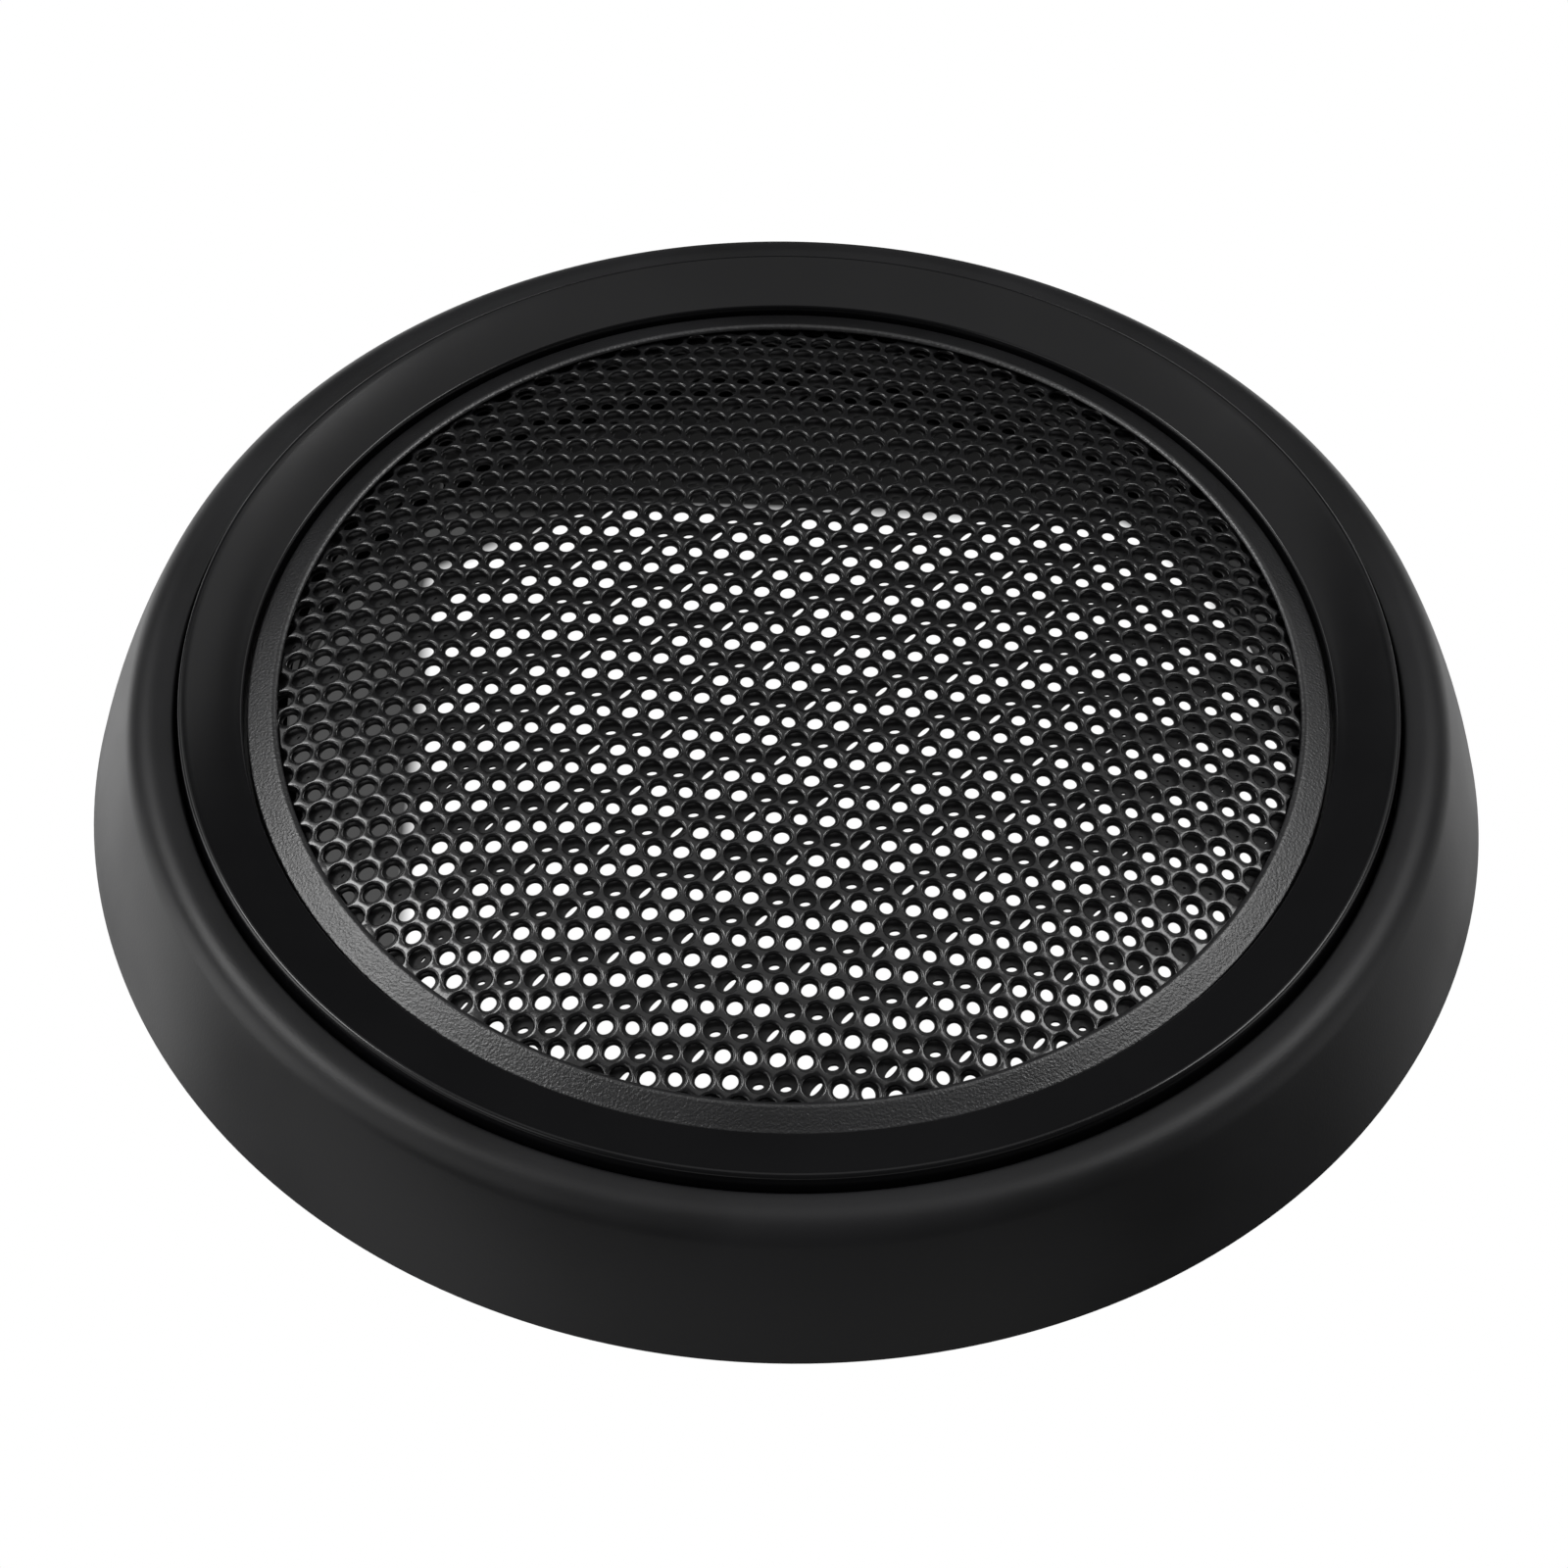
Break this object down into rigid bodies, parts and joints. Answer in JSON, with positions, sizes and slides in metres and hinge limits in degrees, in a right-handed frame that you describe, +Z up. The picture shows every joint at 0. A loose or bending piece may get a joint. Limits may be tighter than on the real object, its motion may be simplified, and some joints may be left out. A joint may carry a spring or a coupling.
{
  "type": "car speaker grille cover",
  "caption": "Round flared trim ring with a lift-off grille: a smooth ring, a grained bezel and a domed perforated metal mesh that covers and protects a speaker.",
  "frame": {"origin": "centre of the round base, on the plane that the cover rests on", "axes": "+Z up, out of the panel through the dome of the grille; +X to the right in the picture, +Y away from its camera"},
  "size_m": [0.155, 0.155, 0.022],
  "materials": {
    "trim_plastic": "satin black moulded plastic",
    "frame_plastic": "smooth satin black",
    "bezel_plastic": "fine-grained matte black",
    "mesh_steel": "black powder coat on perforated steel",
    "backing_plastic": "plain black moulded plastic",
    "screw_steel": "black zinc"
  },
  "bodies": {
    "base": {"trim_ring": "trim_plastic"},
    "grille": {"grille_frame": "frame_plastic", "mesh_bezel": "bezel_plastic", "front_mesh": "mesh_steel", "rear_mesh": "mesh_steel", "clamp_ring": "backing_plastic", "clamp_screw_1": "screw_steel", "clamp_screw_2": "screw_steel", "clamp_screw_3": "screw_steel", "clamp_screw_4": "screw_steel", "clamp_screw_5": "screw_steel", "clamp_screw_6": "screw_steel"}
  },
  "joints": [
    {"name": "grille_pull_off", "type": "slide", "parent": "base", "child": "grille", "axis": [0, 0, 1], "range_m": [0, 0.02]}
  ]
}
